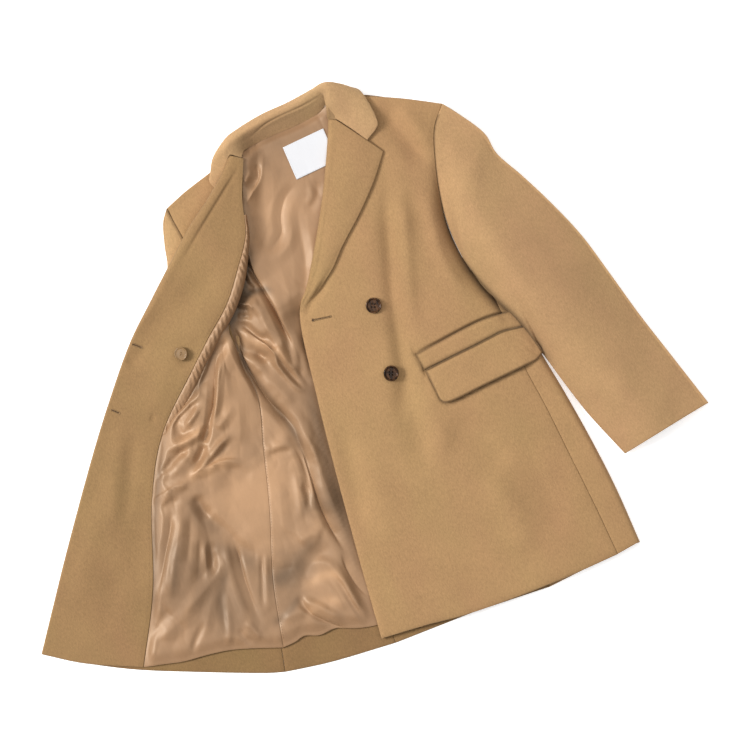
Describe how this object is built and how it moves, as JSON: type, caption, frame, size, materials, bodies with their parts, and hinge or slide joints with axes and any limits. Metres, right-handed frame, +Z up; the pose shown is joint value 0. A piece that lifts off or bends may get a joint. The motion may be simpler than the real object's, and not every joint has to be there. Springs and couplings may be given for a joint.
{
  "type": "half coat",
  "caption": "Camel wool double-breasted half coat lying open on its back: left front closed, right front opened to its facing and satin lining, notched collar, flap pocket.",
  "frame": {"origin": "middle of the coat's outline, on the surface that it lies on", "axes": "+Z up from the surface; +Y along the centre back from hem to collar; +X towards the wearer's left sleeve"},
  "size_m": [1.0257, 0.7926, 0.0431],
  "materials": {
    "wool_camel": "brushed camel wool coating with a short nap",
    "wool_facing": "brushed camel wool coating, facing and lapel",
    "lining_satin": "beige satin lining",
    "button_horn": "polished dark horn look",
    "button_camel": "satin camel",
    "label_white": "plain woven white tape"
  },
  "bodies": {
    "root": {"back_left": "wool_camel", "back_right": "wool_camel", "left_front": "wool_camel", "left_side": "wool_camel", "right_side": "wool_camel", "right_front": "wool_camel", "right_front_shoulder": "wool_camel", "left_top_sleeve": "wool_camel", "left_under_sleeve": "wool_camel", "left_under_arm": "wool_camel", "left_under_forearm": "wool_camel", "left_under_cuff": "wool_camel", "right_top_sleeve": "wool_camel", "right_under_sleeve": "wool_camel", "collar": "wool_camel", "left_welt": "wool_camel", "left_flap": "wool_camel", "left_facing": "wool_facing", "left_lapel": "wool_facing", "right_facing": "wool_facing", "back_lining": "lining_satin", "right_front_lining": "lining_satin", "right_lining_edge": "lining_satin", "button_upper": "button_horn", "button_lower": "button_horn", "inner_button": "button_camel", "label": "label_white"}
  },
  "joints": []
}
